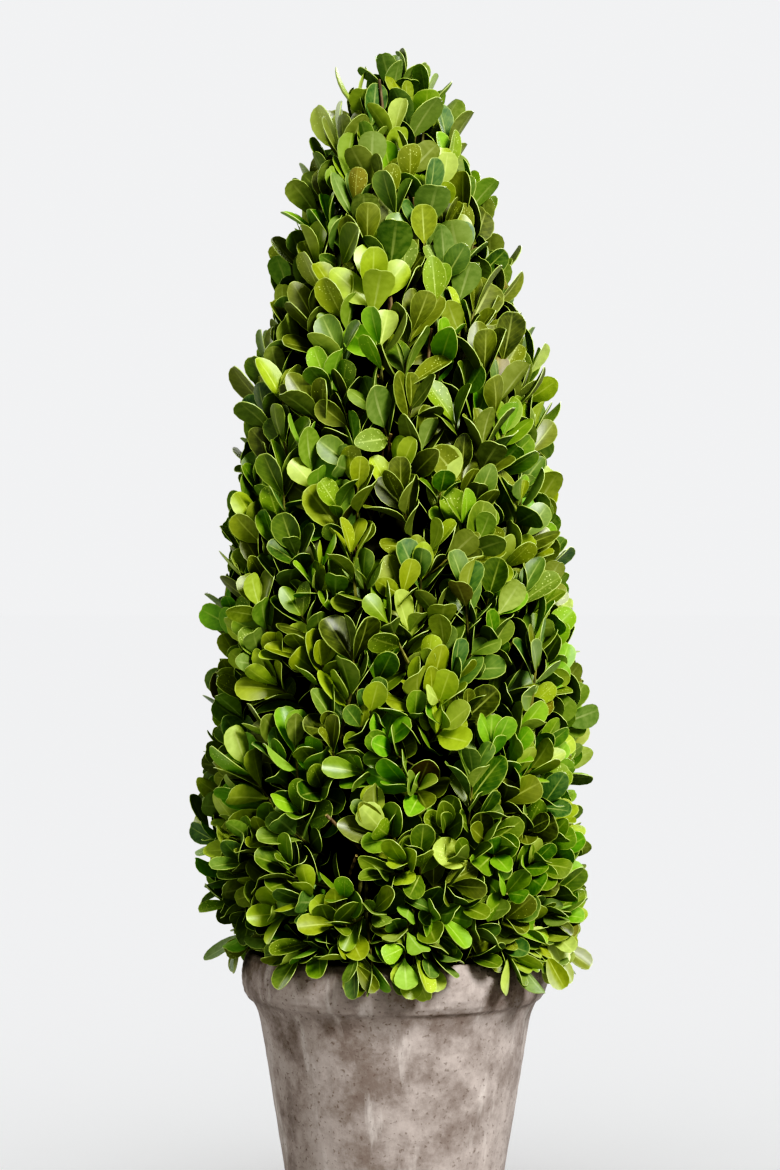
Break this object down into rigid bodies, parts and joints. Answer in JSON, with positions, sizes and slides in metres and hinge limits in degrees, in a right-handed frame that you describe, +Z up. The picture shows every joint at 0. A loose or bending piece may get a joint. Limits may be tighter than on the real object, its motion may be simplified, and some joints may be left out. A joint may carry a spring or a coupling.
{
  "type": "potted cone topiary",
  "caption": "Clipped boxwood cone topiary: a tall, bullet-shaped crown of small oval leaves on short sprigs, standing in a round clay pot with a rolled rim.",
  "frame": {"origin": "centre of the pot's flat underside", "axes": "+Z up along the stem and crown, +X to the right and +Y away, as seen from the pictured side"},
  "size_m": [0.205, 0.2075, 0.5791],
  "materials": {
    "clay": "matte",
    "potting": "matte",
    "bark": "matte",
    "leaves": "satin"
  },
  "bodies": {
    "root": {"pot": "clay", "pot_filling": "potting", "stem": "bark", "crown": "leaves"}
  },
  "joints": []
}
